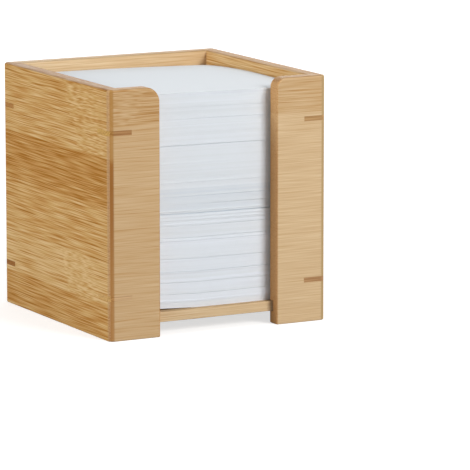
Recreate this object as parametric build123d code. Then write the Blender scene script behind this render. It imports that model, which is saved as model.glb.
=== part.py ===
from build123d import *
import os

# A square desk box for loose memo sheets, in bamboo: three full walls, two short front strips with a
# wide finger gap between them, a raised base let into grooves, and keys across the mitred corners.
# The origin is at the middle of the footprint on the table, +Z up, and the open front faces -Y.

# The sheets, which the box is built round
SHEET_SIZE = 90.0                # a square memo sheet, edge to edge
SHEET_THICKNESS = 0.1
SHEET_AIR = 0.0025               # left between two sheets of a loose stack
SHEET_PLAY = 0.9                 # from the sheets' edges to each wall

# Sheets in each bundle between two breaks that show in the front of the stack, from the base up
BUNDLE_SHEETS = [24, 36, 50, 45, 57, 82, 110, 130, 110, 50, 86, 72, 61]

# How far each bundle lies out of line, as (right, back)
BUNDLE_JOGS = [
    (0.2, 0.1), (-0.1, -0.2), (0.3, 0.2), (0.0, -0.1), (-0.3, 0.2), (0.2, -0.3), (-0.2, 0.1),
    (0.1, 0.3), (-0.3, -0.1), (0.3, 0.0), (0.0, -0.3), (-0.2, 0.2), (0.1, -0.1),
]

# The walls
BOARD_THICKNESS = 6.6
WALL_HEIGHT = 107.8
STRIP_WIDTH = 24.3               # each front strip, from the outer corner to the finger gap
CORNER_RADIUS = 2.5              # the four upright outer corners
ARRIS_RADIUS = 1.0               # the sanded edges of the rim and the finger gap
FOOT_ARRIS_RADIUS = 0.5          # the same round the foot
LEFT_TOP_RADIUS = 6.5            # the strips' upper corners beside the finger gap
RIGHT_TOP_RADIUS = 4.5

# The base and the groove that holds it
FOOT_GAP = 5.4                   # from the table to the underside of the base
BASE_THICKNESS = 4.4
BASE_TONGUE = 2.0                # how far the base goes into each wall
BASE_EASE = 0.3                  # the broken edges of the base
GROOVE_SPARE_DEPTH = 1.4         # left empty beyond the edge of the base
GROOVE_SPARE_HEIGHT = 0.3

# The keys across the mitres
KEY_THICKNESS = 2.2
KEY_COVER = 1.7                  # wood left between a key and the inner corner
KEY_INSET = 18.5                 # from the rim, and from the foot, to the middle of a key

# Worked out from the sizes above
SHEET_PITCH = SHEET_THICKNESS + SHEET_AIR
ROOM_WIDTH = SHEET_SIZE + 2 * SHEET_PLAY
OUTER_WIDTH = ROOM_WIDTH + 2 * BOARD_THICKNESS
HALF_ROOM = ROOM_WIDTH / 2
HALF_OUTER = OUTER_WIDTH / 2
BASE_WIDTH = ROOM_WIDTH + 2 * BASE_TONGUE
BASE_TOP = FOOT_GAP + BASE_THICKNESS
GROOVE_WIDTH = BASE_WIDTH + 2 * GROOVE_SPARE_DEPTH
GROOVE_HEIGHT = BASE_THICKNESS + GROOVE_SPARE_HEIGHT
KEY_LEG = 2 * BOARD_THICKNESS - KEY_COVER * 2 ** 0.5
KEY_HEIGHTS = {"lower": KEY_INSET, "upper": WALL_HEIGHT - KEY_INSET}
CORNERS = {"front_left": (-1, -1), "front_right": (1, -1), "back_left": (-1, 1), "back_right": (1, 1)}
STANDING = (Align.CENTER, Align.CENTER, Align.MIN)
UP = (0, 0, 1)
NEAR = 0.001                     # how far an edge may be from a place and still count as there


def at(edges, axis, place):
    """Those edges that lie at one place along an axis."""
    return edges.filter_by_position(axis, place - NEAR, place + NEAR)


def front_quarter():
    """The quarter of the plan between the two front diagonals, which the mitres follow."""
    plan = Polygon((0, 0), (-OUTER_WIDTH, -OUTER_WIDTH), (OUTER_WIDTH, -OUTER_WIDTH), align=None)
    return extrude(plan, WALL_HEIGHT, dir=UP)


def front_board(width, middle):
    """A square-edged board that stands in the front wall's plane."""
    place = Pos(middle, -(HALF_OUTER + HALF_ROOM) / 2)
    return place * Box(width, BOARD_THICKNESS, WALL_HEIGHT, align=STANDING)


def full_wall():
    """A full wall, on the front: outer corners rounded, rim and foot sanded, both ends mitred."""
    board = front_board(OUTER_WIDTH, 0)
    outer_face = at(board.edges(), Axis.Y, -HALF_OUTER)
    board = fillet(outer_face.filter_by(Axis.Z), CORNER_RADIUS)
    board = fillet(at(board.edges(), Axis.Z, WALL_HEIGHT), ARRIS_RADIUS)
    return fillet(at(board.edges(), Axis.Z, 0), FOOT_ARRIS_RADIUS) & front_quarter()


def front_strip(side, top_radius):
    """A short front strip, from the mitred outer corner to the finger gap."""
    gap_side = side * (HALF_OUTER - STRIP_WIDTH)
    strip = front_board(STRIP_WIDTH, side * (HALF_OUTER - STRIP_WIDTH / 2))
    gap_end = at(strip.edges(), Axis.X, gap_side)
    strip = fillet(at(gap_end, Axis.Z, WALL_HEIGHT), top_radius)
    outer_end = at(strip.edges(), Axis.X, side * HALF_OUTER)
    strip = fillet(at(outer_end, Axis.Y, -HALF_OUTER), CORNER_RADIUS)
    outlines = at(strip.edges(), Axis.Y, -HALF_OUTER) + at(strip.edges(), Axis.Y, -HALF_ROOM)
    past_corner = HALF_OUTER - CORNER_RADIUS - NEAR
    above_foot = outlines.filter_by_position(Axis.Z, NEAR, WALL_HEIGHT + NEAR)
    beside_gap = above_foot.filter_by(lambda edge: abs(edge.center().X) < past_corner)
    strip = fillet(beside_gap, ARRIS_RADIUS)
    return fillet(at(strip.edges(), Axis.Z, 0), FOOT_ARRIS_RADIUS) & front_quarter()


def key_wedge(side_x, side_y, height):
    """The flat triangle that a key fills, with its right angle at an outer corner of the box."""
    corner = Vector(side_x * HALF_OUTER, side_y * HALF_OUTER)
    ends = [corner - Vector(side_x * KEY_LEG, 0), corner - Vector(0, side_y * KEY_LEG)]
    outline = Polygon(corner, *ends, align=None)
    return Pos(0, 0, height - KEY_THICKNESS / 2) * extrude(outline, KEY_THICKNESS, dir=UP)


def walls(wedges):
    """The five boards of the wall, grooved for the base and slotted for the keys."""
    groove = Pos(0, 0, FOOT_GAP) * Box(GROOVE_WIDTH, GROOVE_WIDTH, GROOVE_HEIGHT, align=STANDING)
    panel = full_wall()
    boards = {
        "right_side_panel": Rot(0, 0, 90) * panel,
        "back_panel": Rot(0, 0, 180) * panel,
        "left_side_panel": Rot(0, 0, 270) * panel,
        "left_front_strip": front_strip(-1, LEFT_TOP_RADIUS),
        "right_front_strip": front_strip(1, RIGHT_TOP_RADIUS),
    }
    return {name: board - groove - list(wedges.values()) for name, board in boards.items()}


def keys(wedges):
    """The keys, sanded flush with the rounded corners."""
    block = Box(OUTER_WIDTH, OUTER_WIDTH, WALL_HEIGHT, align=STANDING)
    block = fillet(block.edges().filter_by(Axis.Z), CORNER_RADIUS)
    return {name: wedge & block for name, wedge in wedges.items()}


def base_board():
    """The square base, its edges broken, resting on the lower side of the groove."""
    base = Pos(0, 0, FOOT_GAP) * Box(BASE_WIDTH, BASE_WIDTH, BASE_THICKNESS, align=STANDING)
    return fillet(base.edges(), BASE_EASE)


def sheet_stack():
    """The bundles of loose sheets from the base up, and the single sheet on top of them."""
    pieces = {}
    height = BASE_TOP
    for number, (sheets, (right, back)) in enumerate(zip(BUNDLE_SHEETS, BUNDLE_JOGS), start=1):
        bundle = Box(SHEET_SIZE, SHEET_SIZE, sheets * SHEET_PITCH, align=STANDING)
        pieces[f"sheet_bundle_{number:02d}"] = Pos(right, back, height) * bundle
        height += sheets * SHEET_PITCH
    top_sheet = Box(SHEET_SIZE, SHEET_SIZE, SHEET_THICKNESS, align=STANDING)
    pieces["top_sheet"] = Pos(0, 0, height) * top_sheet
    return pieces


wedges = {
    f"{corner}_{level}_key": key_wedge(*sides, height)
    for corner, sides in CORNERS.items()
    for level, height in KEY_HEIGHTS.items()
}
pieces = {**walls(wedges), "base_board": base_board(), **keys(wedges), **sheet_stack()}
os.makedirs("parts", exist_ok=True)
for name, piece in pieces.items():
    export_step(piece, f"parts/{name}.step")
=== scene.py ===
import math
import random

import bpy
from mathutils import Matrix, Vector


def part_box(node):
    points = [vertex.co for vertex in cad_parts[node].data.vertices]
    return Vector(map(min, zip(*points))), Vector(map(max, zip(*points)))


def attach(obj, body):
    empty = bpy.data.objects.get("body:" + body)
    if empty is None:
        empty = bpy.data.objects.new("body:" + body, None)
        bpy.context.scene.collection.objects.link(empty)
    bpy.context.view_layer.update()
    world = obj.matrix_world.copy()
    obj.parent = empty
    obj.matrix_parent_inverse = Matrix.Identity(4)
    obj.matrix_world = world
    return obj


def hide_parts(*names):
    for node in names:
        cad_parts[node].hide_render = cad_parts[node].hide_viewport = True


# A square bamboo desk box with a tall stack of loose memo sheets. The boards, the base and the keys are
# the frame's own nodes and get their finish here; every sheet of paper is modelled here, one by one.

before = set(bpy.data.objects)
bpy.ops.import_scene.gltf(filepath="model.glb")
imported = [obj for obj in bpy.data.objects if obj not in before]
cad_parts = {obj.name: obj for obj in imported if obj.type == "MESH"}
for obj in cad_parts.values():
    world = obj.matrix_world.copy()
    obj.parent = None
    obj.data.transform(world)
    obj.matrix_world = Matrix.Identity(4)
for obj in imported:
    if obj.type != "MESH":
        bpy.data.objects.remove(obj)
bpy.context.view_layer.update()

MM = 0.001

# Sizes that the frame gives
BOX_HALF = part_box("back_panel")[1].y
BOX_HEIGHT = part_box("back_panel")[1].z
BASE_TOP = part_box("base_board")[1].z
SHEET_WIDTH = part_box("top_sheet")[1].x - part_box("top_sheet")[0].x
SHEET_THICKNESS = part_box("top_sheet")[1].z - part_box("top_sheet")[0].z
STACK_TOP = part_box("top_sheet")[0].z
BUNDLES = sorted(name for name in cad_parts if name.startswith("sheet_bundle_"))

# The camera stands a little above the box and to its left, as a long lens sees it
CAMERA_TURN = math.radians(28.298)
CAMERA_DIP = math.radians(9.993)
CAMERA_DISTANCE = 1.723
CAMERA_AIM = Vector((30.621, -9.932, 32.754)) * MM
CAMERA_LENS = 298.572
CAMERA_SENSOR = 36.0

# The light: an even surround and four softboxes, each (turn, lift, distance, width, watts). A turn of 0
# is straight in front, and positive is to the right.
SURROUND_LIGHT = 0.17
SOFTBOXES = {
    "right_front_softbox": (22.0, 30.0, 1.3, 0.5, 12.1),
    "left_softbox": (-88.0, 18.0, 1.3, 0.4, 9.1),
    "back_softbox": (150.0, 15.0, 1.3, 0.9, 7.2),
    "overhead_softbox": (0.0, 90.0, 1.3, 0.9, 2.2),
}
FLOOR_WIDTH = 6.0
FLOOR_LIT = "#ADADAD"            # what the light that reaches the box bounces off
FLOOR_SEEN = "#C6C6C6"
FLOOR_GLOW = 0.664               # brings the lit floor to white for the camera, and leaves its shadow


def rgb(code):
    """An sRGB hex colour as the linear colour that a socket takes."""
    parts = [int(code[i:i + 2], 16) / 255 for i in (1, 3, 5)]
    return [p / 12.92 if p <= 0.04045 else ((p + 0.055) / 1.055) ** 2.4 for p in parts] + [1.0]


def node(tree, kind, inputs, **settings):
    """Adds a shader node. Each input is a value, a socket, or a node, which feeds in its first output."""
    made = tree.nodes.new("ShaderNode" + kind)
    for name, value in settings.items():
        setattr(made, name, value)
    for socket, value in inputs.items():
        if isinstance(value, bpy.types.Node):
            value = value.outputs[0]
        if isinstance(value, bpy.types.NodeSocket):
            tree.links.new(value, made.inputs[socket])
        else:
            made.inputs[socket].default_value = value
    return made


def set_stops(ramp, stops):
    """Gives a colour ramp its (place, colour) stops."""
    elements = ramp.color_ramp.elements
    while len(elements) < len(stops):
        elements.new(1.0)
    while len(elements) > len(stops):
        elements.remove(elements[-1])
    for element, (place, colour) in zip(elements, stops):
        element.position = place
        element.color = colour


def new_material(name):
    """An empty material, as its data, its tree and its output."""
    made = bpy.data.materials.new(name)
    made.use_nodes = True
    made.node_tree.nodes.clear()
    return made, made.node_tree, node(made.node_tree, "OutputMaterial", {})


def select_only(*objects):
    bpy.ops.object.select_all(action="DESELECT")
    for one in objects:
        one.select_set(True)
    bpy.context.view_layer.objects.active = objects[0]


# Bamboo: the stem's wall planed flat, so the fibres show as fine straight lines, and a knuckle of the stem
# as a ragged line with short dashes on one side of it. Each streak is (length mm, width mm, strength, shift).
# A fibre bundle is 0.3 mm wide, and the finest are drawn 0.38 mm wide so that they show.

FINE_FIBRES = (18.0, 0.38, 1.65, 3.1)
FIBRE_BUNDLES = (34.0, 0.75, 0.12, 7.7)
BROAD_STREAKS = (90.0, 2.1, 0.07, 15.4)
WIDE_STREAKS = (150.0, 4.8, 0.1, 23.9)
LINE_PITCH = 1.7                     # mm from one of the thin dark lines to the next, on average
LINE_REACH = 0.27                    # mm from the middle of a line to where it ends
LINE_DEPTH = -0.66                   # how much darker the middle of a line is
LINE_SWAY = (50.0, 2.6, 2.4, 84.4)   # which spaces the lines unevenly
LINE_SHARE = (20.0, 1.5, 71.9)       # which of them show, as length, width and shift
LINE_SHOWS = (0.38, 0.6)             # where in that noise they begin and are full
DASHES = (5.0, 0.5, 1.1, 31.2)       # beside a knuckle
LONG_DASHES = (9.0, 0.85, 0.5, 42.5)
WANDER = (60.0, 13.0, 0.8, 51.8)     # the lines stray by this many mm times the noise
RAGGED = (24.0, 1.6, 9.0, 63.3)      # and so does the edge of a knuckle
KNUCKLE_SLANT = 0.55                 # mm along the board for each mm up it
KNUCKLE_EDGE = 2.0                   # mm over which the dashes begin
KNUCKLE_REACH = (24.0, 40.0)         # and mm from the knuckle between which they thin out
KNUCKLE_FIBRES = 0.5                 # how much of the fine fibres still shows among the dashes
KNUCKLE_TONE = 0.04                  # how much lighter the wood is among them
SEED_STEP = 977.0                    # mm between the places that two strips take their fibres from
KNUCKLE_SPAN = 320.0                 # mm of places that a knuckle may have
NO_KNUCKLE = -180.0                  # a place beyond the end of every board
CUT_SHOWS = (0.15, 0.7)              # how far a face has to turn across the fibres to look cut
RIM_PAINTED_LIGHT_SHOWS = (0.4, 0.8)               # and upwards, to count as the rim that gets the painted shade and sheen
MITRE_BAND = (1.8, 2.6)              # mm from a corner
KEY_SIDE_SHOWS = (0.65, 0.75)        # how far a key's edge has to turn to the side

# What tints a key from its darkest fibre to its lightest, and what tints end grain, as (height mm, colour,
# cover)
KEY_LINES = [(0.2, "#D9CFC8"), (0.8, "#FFFFFF")]
BROWN_END = [(0.0, "#E2C6A8", 1.0), (74.0, "#E2C6A8", 1.0), (94.0, "#F6E6D2", 1.0)]


def grain_group():
    """The fibres of a board, from a place in mm: along them, up the board and through it."""
    tree = bpy.data.node_groups.new("bamboo_fibres", "ShaderNodeTree")
    tree.interface.new_socket("Place", in_out="INPUT", socket_type="NodeSocketVector")
    for name in ("Tone", "Contrast", "Knuckle", "Seed"):
        tree.interface.new_socket(name, in_out="INPUT", socket_type="NodeSocketFloat")
    for name in ("Shade", "Relief"):
        tree.interface.new_socket(name, in_out="OUTPUT", socket_type="NodeSocketFloat")
    given = tree.nodes.new("NodeGroupInput").outputs
    result = tree.nodes.new("NodeGroupOutput")
    along, height, depth = node(tree, "SeparateXYZ", {0: given["Place"]}).outputs
    seeded = node(tree, "Math", {0: given["Seed"], 1: SEED_STEP, 2: along}, operation="MULTIPLY_ADD")

    def long_noise(across, length, width, shift):
        """A noise that is drawn out along the fibres."""
        at = node(tree, "CombineXYZ", {
            0: node(tree, "Math", {0: seeded, 1: 1 / length, 2: shift}, operation="MULTIPLY_ADD"),
            1: node(tree, "Math", {0: across, 1: width}, operation="DIVIDE"),
            2: node(tree, "Math", {0: depth, 1: width}, operation="DIVIDE"),
        })
        return node(tree, "TexNoise", {"Vector": at, "Scale": 1.0, "Detail": 0.0})

    def streaks(start, across, form):
        """Adds one form of streak to a value."""
        length, width, strength, shift = form
        noise = long_noise(across, length, width, shift)
        evened = node(tree, "Math", {0: noise, 1: 0.5}, operation="SUBTRACT")
        return node(tree, "Math", {0: evened, 1: strength, 2: start}, operation="MULTIPLY_ADD")

    across = streaks(height, height, WANDER)
    swayed = streaks(across, across, LINE_SWAY)
    from_line = node(tree, "Math", {0: swayed, 1: LINE_PITCH / 2}, operation="PINGPONG")
    line = node(tree, "MapRange", {0: from_line, 1: 0.0, 2: LINE_REACH, 3: LINE_DEPTH, 4: 0.0})
    shows = node(tree, "MapRange", {
        0: long_noise(across, *LINE_SHARE), 1: LINE_SHOWS[0], 2: LINE_SHOWS[1], 3: 0.0, 4: 1.0,
    })
    dark_lines = node(tree, "Math", {0: line, 1: shows}, operation="MULTIPLY")
    straight = streaks(streaks(dark_lines, across, FINE_FIBRES), across, FIBRE_BUNDLES)
    faint = node(tree, "Math", {0: straight, 1: KNUCKLE_FIBRES, 2: KNUCKLE_TONE}, operation="MULTIPLY_ADD")
    dashed = streaks(streaks(faint, across, DASHES), across, LONG_DASHES)

    slanted = node(tree, "Math", {0: height, 1: KNUCKLE_SLANT, 2: given["Knuckle"]}, operation="MULTIPLY_ADD")
    ragged = streaks(slanted, height, RAGGED)
    past = node(tree, "Math", {0: ragged, 1: along}, operation="SUBTRACT")
    begins = node(tree, "MapRange", {0: past, 1: 0.0, 2: KNUCKLE_EDGE, 3: 0.0, 4: 1.0},
                  interpolation_type="SMOOTHSTEP")
    ends = node(tree, "MapRange", {0: past, 1: KNUCKLE_REACH[0], 2: KNUCKLE_REACH[1], 3: 1.0, 4: 0.0},
                interpolation_type="SMOOTHSTEP")
    knuckle = node(tree, "Math", {0: begins, 1: ends}, operation="MULTIPLY")
    lines = node(tree, "Mix", {0: knuckle, 2: straight, 3: dashed})

    figure = streaks(streaks(lines, across, BROAD_STREAKS), across, WIDE_STREAKS)
    shade = node(tree, "Math", {0: figure, 1: given["Contrast"], 2: given["Tone"]}, operation="MULTIPLY_ADD")
    tree.links.new(shade.outputs[0], result.inputs["Shade"])
    tree.links.new(lines.outputs[0], result.inputs["Relief"])
    return tree


FIBRES = grain_group()


def planed_fibres(tree, place, grain):
    """The fibres group on a board whose fibres follow the X or the Y axis; gives it and the place in mm."""
    in_mm = node(tree, "VectorMath", {0: place.outputs["Object"], 3: 1 / MM}, operation="SCALE")
    x, y, height = node(tree, "SeparateXYZ", {0: in_mm}).outputs
    along, through = (x, y) if grain == "x" else (y, x)
    wood_place = node(tree, "CombineXYZ", {0: along, 1: height, 2: through})
    fibres = node(tree, "Group", {}, node_tree=FIBRES)
    tree.links.new(wood_place.outputs[0], fibres.inputs["Place"])
    return fibres, along, height


def lacquer(tree, output, colour, relief):
    """A thin matt lacquer: the fibres still stand up a little, and the gloss is low."""
    bump = node(tree, "Bump", {"Height": relief, "Distance": 0.03 * MM, "Strength": 0.6})
    finish = node(tree, "BsdfPrincipled", {
        "Base Color": colour, "Roughness": 0.6, "IOR": 1.5, "Specular IOR Level": 0.12, "Normal": bump,
    })
    tree.links.new(finish.outputs[0], output.inputs[0])


def bamboo(name, grain, strips, shades, mitre, rim_painted_light, drift):
    """Laminated bamboo: strips one above the other, each (lower edge mm, tone, contrast, knuckle mm, seed).

    shades are the colours from the darkest fibre to the lightest, and drift is how much lighter the tone
    gets with each mm along the board. mitre covers the last millimetres beside a mitre with the joint's
    colour, which on the side and back boards is a painted sheen. The rim tint is painted shade and sheen
    on what faces up. Each is (height mm, colour, cover) from the foot up.
    """
    made, tree, output = new_material(name)
    place = node(tree, "TexCoord", {})
    fibres, along, height = planed_fibres(tree, place, grain)
    share = node(tree, "Math", {0: height, 1: BOX_HEIGHT / MM}, operation="DIVIDE")

    # A stepped ramp hands each strip its values: tone, knuckle and seed as a colour, contrast as its alpha
    board = node(tree, "ValToRGB", {0: share})
    board.color_ramp.interpolation = "CONSTANT"
    set_stops(board, [
        (low * MM / BOX_HEIGHT, (tone, (knuckle - KNUCKLE_SLANT * low) / KNUCKLE_SPAN + 0.5, seed, contrast))
        for low, tone, contrast, knuckle, seed in strips
    ])
    tone, coded, seed = node(tree, "SeparateColor", {0: board}).outputs
    drifted = node(tree, "Math", {0: along, 1: drift, 2: tone}, operation="MULTIPLY_ADD")
    centred = node(tree, "Math", {0: coded, 1: 0.5}, operation="SUBTRACT")
    knuckle = node(tree, "Math", {0: centred, 1: KNUCKLE_SPAN}, operation="MULTIPLY")
    for socket, value in (("Tone", drifted.outputs[0]), ("Contrast", board.outputs[1]),
                          ("Knuckle", knuckle.outputs[0]), ("Seed", seed)):
        tree.links.new(value, fibres.inputs[socket])
    wood = node(tree, "ValToRGB", {0: fibres.outputs["Shade"]})
    set_stops(wood, [(at, rgb(code)) for at, code in shades])

    x, y, z = node(tree, "SeparateXYZ", {0: place.outputs["Normal"]}).outputs
    facing = node(tree, "Math", {0: x if grain == "x" else y}, operation="ABSOLUTE")
    outward = node(tree, "Math", {0: along}, operation="ABSOLUTE")
    edge = BOX_HALF / MM
    colour = wood.outputs[0]
    for value, start, end, blend, stops in (
        (facing, CUT_SHOWS[0], CUT_SHOWS[1], "MULTIPLY", BROWN_END),
        # painted shade and sheen on what faces up, from the rim tint
        (z, RIM_PAINTED_LIGHT_SHOWS[0], RIM_PAINTED_LIGHT_SHOWS[1], "MULTIPLY", rim_painted_light),
        # beside the mitre: the joint's colour, and on the side and back boards a painted sheen
        (outward, edge - MITRE_BAND[1], edge - MITRE_BAND[0], "MIX", mitre),
    ):
        mask = node(tree, "MapRange", {0: value, 1: start, 2: end, 3: 0.0, 4: 1.0},
                    interpolation_type="SMOOTHSTEP")
        tint = node(tree, "ValToRGB", {0: share})
        set_stops(tint, [(low * MM / BOX_HEIGHT, rgb(code)[:3] + [cover]) for low, code, cover in stops])
        covered = node(tree, "Math", {0: mask, 1: tint.outputs[1]}, operation="MULTIPLY")
        colour = node(tree, "Mix", {0: covered, 6: colour, 7: tint}, data_type="RGBA",
                      blend_type=blend).outputs[2]
    lacquer(tree, output, colour, fibres.outputs["Relief"])
    return made


def key_bamboo(name, front, side, corner):
    """A key of darker steamed bamboo, with the colours that its edge has in the front or back, in the side,
    and where it crosses the mitre.
    """
    made, tree, output = new_material(name)
    place = node(tree, "TexCoord", {})
    fibres, along, _ = planed_fibres(tree, place, "x")
    for socket, value in (("Tone", 0.5), ("Contrast", 0.8), ("Knuckle", NO_KNUCKLE), ("Seed", 0.3)):
        fibres.inputs[socket].default_value = value
    normal = node(tree, "SeparateXYZ", {0: place.outputs["Normal"]}).outputs[0]
    facing = node(tree, "Math", {0: normal}, operation="ABSOLUTE")
    sideways = node(tree, "MapRange", {
        0: facing, 1: KEY_SIDE_SHOWS[0], 2: KEY_SIDE_SHOWS[1], 3: 0.0, 4: 1.0,
    })
    outward = node(tree, "Math", {0: along}, operation="ABSOLUTE")
    edge = BOX_HALF / MM
    at_mitre = node(tree, "MapRange", {
        0: outward, 1: edge - MITRE_BAND[1], 2: edge - MITRE_BAND[0], 3: 0.0, 4: 1.0,
    })
    across_front = node(tree, "Mix", {0: at_mitre, 6: rgb(front), 7: rgb(corner)}, data_type="RGBA")
    wood = node(tree, "Mix", {0: sideways, 6: across_front.outputs[2], 7: rgb(side)}, data_type="RGBA")
    lines = node(tree, "ValToRGB", {0: fibres.outputs["Shade"]})
    set_stops(lines, [(at, rgb(code)) for at, code in KEY_LINES])
    colour = node(tree, "Mix", {0: 1.0, 6: wood.outputs[2], 7: lines}, data_type="RGBA",
                  blend_type="MULTIPLY")
    lacquer(tree, output, colour.outputs[2], fibres.outputs["Relief"])
    return made


def finish_node(name, material):
    """Gives a node of the frame a material."""
    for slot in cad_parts[name].material_slots:
        slot.material = material


# The colours of the wood, from the darkest fibre to the lightest
AMBER = [
    (0.03, "#A16714"), (0.30, "#B8823D"), (0.49, "#C59352"), (0.66, "#CEA363"), (0.80, "#D5B075"),
    (0.97, "#E1BF8A"),
]
HONEY = [
    (0.03, "#B2824A"), (0.31, "#C49A66"), (0.55, "#D0AD80"), (0.72, "#D6B68C"), (0.85, "#DEC096"),
    (0.98, "#E5CAA3"),
]
WHEAT = [
    (0.03, "#A87024"), (0.30, "#BC8949"), (0.50, "#C79A5F"), (0.68, "#D1AA73"), (0.82, "#DAB783"),
    (0.98, "#E3C595"),
]

# The rims' tints, which paint shade and sheen on what faces up, and the colours beside the mitres, as
# (height mm, colour, cover)
LEFT_RIM_PAINTED_LIGHT = [(0.0, "#CFCEEB", 1.0)]
RIGHT_RIM_PAINTED_LIGHT = [(0.0, "#DAD4D8", 1.0)]
FRONT_RIM_PAINTED_LIGHT = [(0.0, "#E2DEE0", 1.0)]
BACK_RIM_PAINTED_LIGHT = [(0.0, "#E2DEDA", 1.0)]
# a painted sheen of the light on the rounded corners of the side and back boards
PINK_MITRE_PAINTED_SHEEN = [(0.0, "#C9A883", 0.35), (74.0, "#C9A67E", 0.6)]
DARK_MITRE = [
    (0.0, "#AF7E48", 0.8), (28.0, "#A87740", 0.85), (50.0, "#9C6733", 0.9), (67.0, "#966026", 0.9),
    (76.0, "#9A6228", 0.9), (79.0, "#B08246", 0.8),
]
FAINT_MITRE = [(0.0, "#B89C6E", 0.9)]

# The strips that each board is laminated from, as (lower edge mm, tone, contrast, knuckle mm, seed)
LEFT_SIDE_STRIPS = [
    (0.0, 0.545, 0.85, NO_KNUCKLE, 0.11),
    (15.5, 0.80, 0.85, -13.0, 0.42),
    (33.3, 0.64, 0.8, NO_KNUCKLE, 0.73),
    (57.2, 0.40, 0.85, NO_KNUCKLE, 0.27),
    (78.3, 0.66, 0.85, -24.0, 0.58),
]
RIGHT_SIDE_STRIPS = [
    (0.0, 0.68, 0.6, 20.0, 0.31),
    (20.0, 0.55, 0.7, NO_KNUCKLE, 0.82),
    (43.0, 0.78, 0.6, 8.0, 0.13),
    (66.0, 0.6, 0.7, NO_KNUCKLE, 0.67),
    (88.0, 0.66, 0.6, NO_KNUCKLE, 0.48),
]
BACK_STRIPS = [
    (0.0, 0.54, 0.6, NO_KNUCKLE, 0.36),
    (19.0, 0.68, 0.6, 12.0, 0.52),
    (41.0, 0.5, 0.7, NO_KNUCKLE, 0.23),
    (63.0, 0.64, 0.6, -12.0, 0.77),
    (86.0, 0.78, 0.4, NO_KNUCKLE, 0.18),
]
FRONT_LEFT_STRIPS = [
    (0.0, 0.61, 0.32, NO_KNUCKLE, 0.61),
    (27.0, 0.58, 0.36, NO_KNUCKLE, 0.24),
    (49.0, 0.61, 0.33, NO_KNUCKLE, 0.37),
    (71.0, 0.59, 0.32, NO_KNUCKLE, 0.19),
    (92.0, 0.43, 0.65, -42.0, 0.83),
]
FRONT_RIGHT_STRIPS = [
    (0.0, 0.8, 0.3, NO_KNUCKLE, 0.15),
    (24.0, 0.81, 0.28, NO_KNUCKLE, 0.66),
    (47.0, 0.8, 0.28, NO_KNUCKLE, 0.93),
    (72.0, 0.79, 0.3, NO_KNUCKLE, 0.44),
    (92.0, 0.57, 0.5, NO_KNUCKLE, 0.28),
]
BASE_STRIPS = [(0.0, 0.86, 0.4, NO_KNUCKLE, 0.55)]
BACK_DRIFT = -0.003                  # the back gets darker to the right as seen from the front

for name, finish, grain, strips, shades, mitre, rim_painted_light, drift in (
    ("left_side_panel", "left_side", "y", LEFT_SIDE_STRIPS, AMBER, PINK_MITRE_PAINTED_SHEEN, LEFT_RIM_PAINTED_LIGHT, 0.0),
    ("right_side_panel", "right_side", "y", RIGHT_SIDE_STRIPS, WHEAT, PINK_MITRE_PAINTED_SHEEN, RIGHT_RIM_PAINTED_LIGHT, 0.0),
    ("back_panel", "back", "x", BACK_STRIPS, HONEY, PINK_MITRE_PAINTED_SHEEN, BACK_RIM_PAINTED_LIGHT, BACK_DRIFT),
    ("left_front_strip", "front_left", "x", FRONT_LEFT_STRIPS, HONEY, DARK_MITRE, FRONT_RIM_PAINTED_LIGHT, 0.0),
    ("right_front_strip", "front_right", "x", FRONT_RIGHT_STRIPS, HONEY, FAINT_MITRE, FRONT_RIM_PAINTED_LIGHT, 0.0),
    ("base_board", "base", "x", BASE_STRIPS, HONEY, FAINT_MITRE, BACK_RIM_PAINTED_LIGHT, 0.0),
):
    finish_node(name, bamboo("lacquered_bamboo_" + finish, grain, strips, shades, mitre, rim_painted_light, drift))

for name, front, side, corner in (
    ("front_left_lower_key", "#DDB98C", "#DEB574", "#BD8D54"),
    ("front_left_upper_key", "#BC8E5D", "#DAB065", "#BA8A4C"),
    ("front_right_lower_key", "#C3996C", "#C3996C", "#C3996C"),
    ("front_right_upper_key", "#C8A06E", "#C8A06E", "#C8A06E"),
    ("back_left_lower_key", "#B38154", "#A36D32", "#B38154"),
    ("back_left_upper_key", "#BE9160", "#BE894A", "#BE9160"),
    ("back_right_lower_key", "#BC8F62", "#BC8F62", "#BC8F62"),
    ("back_right_upper_key", "#C39866", "#C39866", "#C39866"),
):
    finish_node(name, key_bamboo("steamed_bamboo_" + name, front, side, corner))


# Paper: uncoated offset sheets, matt and a cool near white. Their cut edges vary from packet to packet.

FELT = 1.2 * MM                  # the paper's cloudiness, drawn coarser than it is so that it shows
CLOUDINESS = 0.03
# the darker, bluer end of these is reached mostly through the painted shade below
PAPER_TONES = [(0.0, "#CDDBEE"), (0.66, "#E6EBEF"), (1.0, "#F2F7FF")]
MIDDLE_TONE = 0.7
PACKET_TONES = 0.04              # how much the tone varies from packet to packet
SHEET_TONES = 0.02               # and from sheet to sheet
TOP_TONE = 0.66                  # the top sheet's
PAINTED_SHADE_SHEETS = (51.0 * MM, 61.0 * MM)
PAINTED_SHADE_TONE = -0.15              # painted shade: the sheets between those heights are darker, as sheets that tilt down at the front look
LOW_SHEETS = 65.0 * MM
LOW_PAINTED_LIGHT = 0.16                  # painted light: the sheets get paler from that height down, as if more light reached the foot of the stack
BREAK_PAINTED_SHADE_AND_LIGHT = -500.0              # painted shade: sheets at a break are coloured bluer and darker for each metre pushed in, and painted paler where they stand proud


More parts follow.
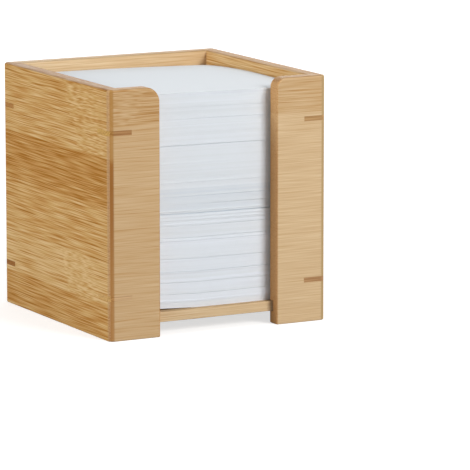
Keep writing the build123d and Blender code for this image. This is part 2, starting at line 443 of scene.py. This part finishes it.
def paper():
    made, tree, output = new_material("uncoated_white_paper")
    place = node(tree, "TexCoord", {})
    felt = node(tree, "TexNoise", {"Vector": place.outputs["Object"], "Scale": 1 / FELT, "Detail": 3.0})
    # the sheet's own tone, with the stack's painted shade and light laid into it
    tone = node(tree, "Attribute", {}, attribute_name="sheet_tone_and_painted_light")
    cloudy = node(tree, "Math", {0: felt, 1: CLOUDINESS, 2: tone.outputs["Fac"]}, operation="MULTIPLY_ADD")
    colour = node(tree, "ValToRGB", {0: cloudy})
    set_stops(colour, [(at, rgb(code)) for at, code in PAPER_TONES])
    bump = node(tree, "Bump", {"Height": felt, "Distance": 0.01 * MM, "Strength": 0.5})
    sheet = node(tree, "BsdfPrincipled", {
        "Base Color": colour, "Roughness": 0.85, "IOR": 1.46, "Specular IOR Level": 0.2, "Normal": bump,
    })
    tree.links.new(sheet.outputs[0], output.inputs[0])
    return made


PAPER = paper()

# How the sheets lie. A curve or a sag is strongest at an edge or a corner of the stack and fades inwards.
SHEET_AIR = 0.0025 * MM
SHEET_PITCH = SHEET_THICKNESS + SHEET_AIR
DROOP_BACK = 0.6 * MM            # how far the sheets hang down along the back
DROOP_BACK_CORNER = 1.6 * MM     # and further at the back right corner
DROOP_FRONT_CORNER = 1.3 * MM    # and at the front right one
CURL_LIFT = 2.2 * MM             # the lowest sheets lift off the base at the front left
CURL_END = -6.0 * MM             # as far to the right as this
CURL_HEIGHT = 75.0 * MM          # and up to this height over the base
SHEET_CUTS = (-0.36, -0.08, 0.28)    # where a sheet can bend, in shares of its width from the middle
TOP_SHEET_FIELDS = 24            # the top sheet shows from above, so it bends more finely
PACKET_SHEETS = (4, 15)          # sheets that lie together as one packet
PACKET_STRAY = 0.04              # how many mm a packet lies out of line
PACKET_TURN = 0.0012             # and how far it is turned
SHEET_STRAY = 0.012              # the same for a sheet in its packet, in mm
TOP_TURN = 0.0008
draw = random.Random(41)

# The breaks that show as lines, as (height mm, mm pushed in, sheets). Below 0 the sheets stand proud, and
# are painted paler, as if they caught more light.
BREAKS = (
    (12.6, -0.1, 6), (15.8, 0.68, 1), (20.9, 0.45, 1), (21.5, -0.06, 4), (25.5, 0.6, 1), (31.1, 0.14, 1),
    (39.0, 0.25, 1), (40.5, 0.3, 1), (45.6, 0.26, 1), (46.2, -0.1, 5), (47.5, 0.08, 1), (48.2, -0.1, 4),
    (49.6, -0.16, 5), (50.7, 0.55, 4), (51.9, -0.16, 5), (54.8, 0.15, 1), (58.4, 0.21, 1), (80.7, 0.28, 1),
    (92.1, 0.24, 1), (97.2, -0.05, 4), (102.4, 0.17, 1),
)
BREAK_TURN = 0.0055              # sheets that are pushed in are also turned, and lie deeper at the right
JOG_SHARE = 0.4                  # how much of a bundle's jog shows in the front of the stack


def settled(x, y, z):
    """How far a sheet lies above its flat place, at a point of the stack.

    u and v run from 0 to 1 across the stack, from the left and from the front, and height from the base up.
    """
    u = x / SHEET_WIDTH + 0.5
    v = y / SHEET_WIDTH + 0.5
    height = (z - BASE_TOP) / (STACK_TOP - BASE_TOP)
    back = (DROOP_BACK + DROOP_BACK_CORNER * u ** 2) * v ** 4
    front = DROOP_FRONT_CORNER * u ** 2 * (1 - v) ** 4
    curl = max(0.0, CURL_END - x) / (CURL_END + SHEET_WIDTH / 2)
    low = max(0.0, 1 - (z - BASE_TOP) / CURL_HEIGHT)
    return CURL_LIFT * curl ** 1.5 * (1 - v) ** 2 * low - (back + front) * height


def model_sheet(name, cuts):
    """A square sheet lying on the origin: a plane, cut both ways and extruded to its thickness."""
    bpy.ops.object.select_all(action="DESELECT")
    bpy.ops.mesh.primitive_plane_add(size=SHEET_WIDTH)
    sheet = bpy.context.object
    sheet.name = name
    bpy.ops.object.mode_set(mode="EDIT")
    for cut in cuts:
        for direction in (Vector((1, 0, 0)), Vector((0, 1, 0))):
            bpy.ops.mesh.select_all(action="SELECT")
            bpy.ops.mesh.bisect(plane_co=direction * cut * SHEET_WIDTH, plane_no=direction)
    bpy.ops.mesh.select_all(action="SELECT")
    bpy.ops.mesh.extrude_region_move(TRANSFORM_OT_translate={"value": (0, 0, SHEET_THICKNESS)})
    bpy.ops.mesh.select_all(action="SELECT")
    bpy.ops.mesh.normals_make_consistent(inside=False)
    bpy.ops.object.mode_set(mode="OBJECT")
    sheet.data.materials.append(PAPER)
    sheet.data.attributes.new("sheet_tone_and_painted_light", "FLOAT", "FACE")
    return sheet


def lay(mesh, x, y, z, turn, tone):
    """Lays a sheet's mesh in the stack, turned by a hair about its middle."""
    for vertex in mesh.vertices:
        px = x + vertex.co.x - turn * vertex.co.y
        py = y + vertex.co.y + turn * vertex.co.x
        vertex.co = (px, py, z + vertex.co.z + settled(px, py, z))
    for value in mesh.attributes["sheet_tone_and_painted_light"].data:
        value.value = tone


def pushed_in(z):
    """How far a sheet is pushed in, or stands proud below 0, because it lies at a break."""
    for height, push, sheets in BREAKS:
        if 0 <= z - height * MM < sheets * SHEET_PITCH:
            return push * MM
    return 0.0


def lay_bundle(bundle, blank):
    """Models one bundle: sheets in packets that lie a little out of line, those at a break pushed in."""
    low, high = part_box(bundle)
    middle = (low + high) / 2
    count = round((high.z - low.z) / SHEET_PITCH)
    sheets = []
    left_in_packet = 0
    for number in range(count):
        z = low.z + number * SHEET_PITCH
        if left_in_packet == 0:
            left_in_packet = draw.randint(*PACKET_SHEETS)
            packet_x, packet_y = draw.gauss(0, PACKET_STRAY) * MM, draw.gauss(0, PACKET_STRAY) * MM
            turn = draw.gauss(0, PACKET_TURN)
            # painted light on the lowest sheets
            packet_tone_and_painted_light = draw.gauss(MIDDLE_TONE, PACKET_TONES) + LOW_PAINTED_LIGHT * max(0.0, 1 - z / LOW_SHEETS)
            # painted shade on the band of tilted sheets
            if PAINTED_SHADE_SHEETS[0] < z < PAINTED_SHADE_SHEETS[1]:
                packet_tone_and_painted_light += PAINTED_SHADE_TONE
        left_in_packet -= 1
        mesh = blank.data.copy()
        push = pushed_in(z)
        x = middle.x + packet_x + draw.gauss(0, SHEET_STRAY) * MM
        y = middle.y * JOG_SHARE + packet_y + draw.gauss(0, SHEET_STRAY) * MM + push
        # painted shade where a sheet is pushed in, painted light where it stands proud
        tone = packet_tone_and_painted_light + draw.gauss(0, SHEET_TONES) + BREAK_PAINTED_SHADE_AND_LIGHT * push
        lay(mesh, x, y, z, turn + BREAK_TURN * (push > 0), tone)
        sheet = bpy.data.objects.new(f"sheet_{number}", mesh)
        bpy.context.scene.collection.objects.link(sheet)
        sheets.append(sheet)
    select_only(*sheets)
    bpy.ops.object.join()
    made = bpy.context.object
    made.name = bundle.replace("sheet_bundle", "memo_sheets")
    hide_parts(bundle)
    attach(made, "sheet_stack")


blank = model_sheet("blank_sheet", SHEET_CUTS)
for bundle in BUNDLES:
    lay_bundle(bundle, blank)
bpy.data.objects.remove(blank)

top = model_sheet("top_memo_sheet", [i / TOP_SHEET_FIELDS - 0.5 for i in range(1, TOP_SHEET_FIELDS)])
lay(top.data, 0, 0, STACK_TOP, TOP_TURN, TOP_TONE)
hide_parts("top_sheet")
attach(top, "loose_top_sheet")


# The studio

def seen_directly(tree):
    """1 where the camera sees a thing, by itself or in a reflection or through glass, else 0."""
    path = node(tree, "LightPath", {}).outputs
    either = node(tree, "Math", {0: path["Is Camera Ray"], 1: path["Is Glossy Ray"]}, operation="MAXIMUM")
    return node(tree, "Math", {0: either, 1: path["Is Transmission Ray"]}, operation="MAXIMUM")


def floor():
    bpy.ops.object.select_all(action="DESELECT")
    bpy.ops.mesh.primitive_plane_add(size=FLOOR_WIDTH)
    made = bpy.context.object
    made.name = "studio_floor"
    material, tree, output = new_material("matt_pale_backdrop_paper")
    matt = node(tree, "BsdfDiffuse", {"Color": rgb(FLOOR_LIT)})
    pale = node(tree, "BsdfDiffuse", {"Color": rgb(FLOOR_SEEN)})
    glow = node(tree, "Emission", {"Color": rgb("#FFFFFF"), "Strength": FLOOR_GLOW})
    seen = node(tree, "AddShader", {0: pale, 1: glow})
    both = node(tree, "MixShader", {0: seen_directly(tree), 1: matt, 2: seen})
    tree.links.new(both.outputs[0], output.inputs[0])
    made.data.materials.append(material)


def surround():
    world = bpy.data.worlds.new("white_studio")
    bpy.context.scene.world = world
    world.use_nodes = True
    tree = world.node_tree
    tree.nodes.clear()
    strength = node(tree, "Mix", {0: seen_directly(tree), 2: SURROUND_LIGHT, 3: 1.0})
    light = node(tree, "Background", {"Color": rgb("#FFFFFF"), "Strength": strength})
    node(tree, "OutputWorld", {0: light})


def softbox(name, turn, lift, distance, width, watts):
    lamp = bpy.data.lights.new(name, "AREA")
    lamp.energy = watts
    lamp.size = width
    made = bpy.data.objects.new(name, lamp)
    turn, lift = math.radians(turn), math.radians(lift)
    outward = Vector((math.sin(turn) * math.cos(lift), -math.cos(turn) * math.cos(lift), math.sin(lift)))
    made.location = outward * distance + Vector((0, 0, BOX_HEIGHT / 2))
    made.rotation_euler = outward.to_track_quat("Z", "Y").to_euler()
    bpy.context.scene.collection.objects.link(made)


def camera():
    lens = bpy.data.cameras.new("camera")
    lens.lens = CAMERA_LENS
    lens.sensor_width = CAMERA_SENSOR
    made = bpy.data.objects.new("camera", lens)
    forward = Vector((
        math.sin(CAMERA_TURN) * math.cos(CAMERA_DIP),
        math.cos(CAMERA_TURN) * math.cos(CAMERA_DIP),
        -math.sin(CAMERA_DIP),
    ))
    made.location = CAMERA_AIM - forward * CAMERA_DISTANCE
    made.rotation_euler = (math.pi / 2 - CAMERA_DIP, 0, -CAMERA_TURN)
    bpy.context.scene.collection.objects.link(made)
    bpy.context.scene.camera = made


floor()
surround()
for name, values in SOFTBOXES.items():
    softbox(name, *values)
camera()
bpy.context.scene.view_settings.view_transform = "Standard"
